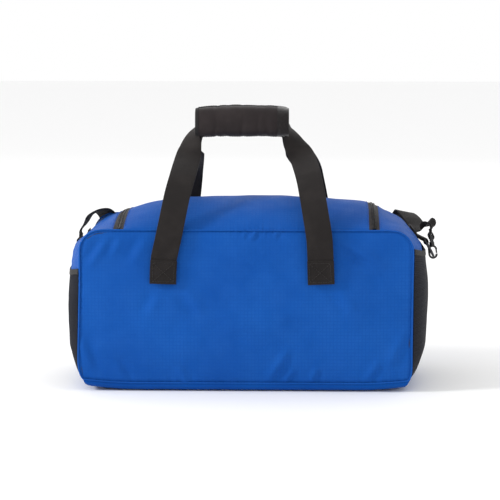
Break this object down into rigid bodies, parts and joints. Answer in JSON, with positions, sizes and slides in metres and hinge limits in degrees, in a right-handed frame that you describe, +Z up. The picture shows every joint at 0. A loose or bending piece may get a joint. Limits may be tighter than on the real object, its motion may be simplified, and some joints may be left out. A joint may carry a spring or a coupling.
{
  "type": "duffel bag",
  "caption": "Blue box-shaped duffel bag with a zipped lid, end pockets, webbing handles in a padded grip and a clip-on shoulder strap.",
  "frame": {"origin": "on the floor under the middle of the bag", "axes": "+X along the bag, +Y from the plain rear panel to the front panel, +Z up"},
  "size_m": [0.5596, 0.306, 0.403],
  "materials": {
    "shell_fabric": "blue ripstop polyester, slight sheen",
    "lining_fabric": "dark coated lining, matt",
    "pocket_fabric": "black woven polyester",
    "pocket_mesh": "navy-black knitted netting",
    "binding_tape": "ribbed grosgrain tape",
    "seam_piping": "blue fabric-covered piping",
    "webbing": "brownish-black ribbed webbing",
    "grip_padding": "padded woven wrap",
    "zip_tape": "woven zip tape",
    "zip_coil": "moulded nylon coil",
    "zip_metal": "black-enamelled zinc",
    "ring_metal": "black-enamelled wire",
    "hook_plastic": "moulded black acetal",
    "base_board": "stiff hollow-core board"
  },
  "bodies": {
    "bag": {"base_board": "base_board", "base_panel": "shell_fabric", "body_lining": "lining_fabric", "body_zip_coil": "zip_coil", "body_zip_tape": "zip_tape", "d_ring_tab_left": "webbing", "d_ring_tab_right": "webbing", "front_handle_ends": "webbing", "front_panel": "shell_fabric", "front_seam_binding": "seam_piping", "front_top_strip": "shell_fabric", "hook_eye_left": "hook_plastic", "hook_eye_right": "hook_plastic", "left_end_panel": "shell_fabric", "left_pocket": "pocket_fabric", "left_pocket_binding": "binding_tape", "left_shoulder": "shell_fabric", "rear_handle_ends": "webbing", "rear_panel": "shell_fabric", "rear_seam_binding": "seam_piping", "right_end_panel": "shell_fabric", "right_pocket": "pocket_mesh", "right_pocket_binding": "binding_tape", "right_shoulder": "shell_fabric", "shoulder_strap": "webbing", "strap_adjuster": "hook_plastic", "strap_end_left": "webbing", "strap_end_right": "webbing"},
    "lid": {"lid_panel": "shell_fabric", "lid_lining": "lining_fabric", "lid_zip_tape": "zip_tape", "lid_zip_coil": "zip_coil"},
    "rear_handle": {"rear_handle": "webbing", "grip_wrap": "grip_padding"},
    "grip_flap": {"grip_flap": "grip_padding"},
    "front_handle": {"front_handle": "webbing"},
    "zip_slider_left": {"zip_slider_left": "zip_metal"},
    "zip_slider_right": {"zip_slider_right": "zip_metal"},
    "zip_pull_left": {"zip_pull_left": "zip_metal"},
    "zip_pull_right": {"zip_pull_right": "zip_metal"},
    "d_ring_left": {"d_ring_left": "ring_metal"},
    "d_ring_right": {"d_ring_right": "ring_metal"},
    "hook_left": {"hook_left": "hook_plastic"},
    "hook_right": {"hook_right": "hook_plastic"},
    "hook_gate_left": {"hook_gate_left": "hook_plastic"},
    "hook_gate_right": {"hook_gate_right": "hook_plastic"}
  },
  "joints": [
    {"name": "lid_open", "type": "hinge", "parent": "bag", "child": "lid", "pos_m": [0, -0.1151, 0.24011], "axis": [1, 0, 0], "range_deg": [0, 125]},
    {"name": "rear_handle_drop", "type": "hinge", "parent": "bag", "child": "rear_handle", "pos_m": [0, -0.1324, 0.2], "axis": [1, 0, 0], "range_deg": [0, 150]},
    {"name": "front_handle_drop", "type": "hinge", "parent": "bag", "child": "front_handle", "pos_m": [0, 0.1324, 0.2], "axis": [-1, 0, 0], "range_deg": [0, 150]},
    {"name": "grip_flap_open", "type": "hinge", "parent": "rear_handle", "child": "grip_flap", "pos_m": [0, 0.0082, 0.403], "axis": [1, 0, 0], "range_deg": [0, 150]},
    {"name": "zip_slide_left", "type": "slide", "parent": "bag", "child": "zip_slider_left", "axis": [-1, 0, 0], "range_m": [0, 0.12]},
    {"name": "zip_pull_swing_left", "type": "hinge", "parent": "zip_slider_left", "child": "zip_pull_left", "pos_m": [-0.013, 0.08995, 0.26031], "axis": [0, 0.8958, -0.4444], "range_deg": [0, 110]},
    {"name": "d_ring_swing_left", "type": "hinge", "parent": "bag", "child": "d_ring_left", "pos_m": [-0.25553, 0.098, 0.19], "axis": [0, 1, 0], "range_deg": [0, 2.5]},
    {"name": "hook_swivel_left", "type": "hinge", "parent": "bag", "child": "hook_left", "pos_m": [-0.26681, 0.098, 0.16881], "axis": [0.1189, 0.0595, 0.9911], "range_deg": [-7, 7]},
    {"name": "hook_gate_open_left", "type": "hinge", "parent": "hook_left", "child": "hook_gate_left", "pos_m": [-0.27191, 0.09822, 0.17244], "axis": [0, 0.9982, -0.0599], "range_deg": [0, 18], "stiffness_Nm_per_rad": 0.004, "springref_deg": -11.46},
    {"name": "zip_slide_right", "type": "slide", "parent": "bag", "child": "zip_slider_right", "axis": [1, 0, 0], "range_m": [0, 0.12]},
    {"name": "zip_pull_swing_right", "type": "hinge", "parent": "zip_slider_right", "child": "zip_pull_right", "pos_m": [0.013, 0.08995, 0.26031], "axis": [0, -0.8958, 0.4444], "range_deg": [0, 110]},
    {"name": "d_ring_swing_right", "type": "hinge", "parent": "bag", "child": "d_ring_right", "pos_m": [0.26794, 0.03, 0.2055], "axis": [0, -1, 0], "range_deg": [0, 2.5]},
    {"name": "hook_swivel_right", "type": "hinge", "parent": "bag", "child": "hook_right", "pos_m": [0.27922, 0.03, 0.18431], "axis": [-0.1189, 0.0595, 0.9911], "range_deg": [-7, 7]},
    {"name": "hook_gate_open_right", "type": "hinge", "parent": "hook_right", "child": "hook_gate_right", "pos_m": [0.28432, 0.03022, 0.18794], "axis": [0, -0.9982, 0.0599], "range_deg": [0, 18], "stiffness_Nm_per_rad": 0.004, "springref_deg": -11.46}
  ],
  "couplings": [
    {"joint": "rear_handle_drop", "follows": "lid_open", "ratio": 1.2},
    {"joint": "front_handle_drop", "follows": "lid_open", "ratio": 1.2}
  ]
}
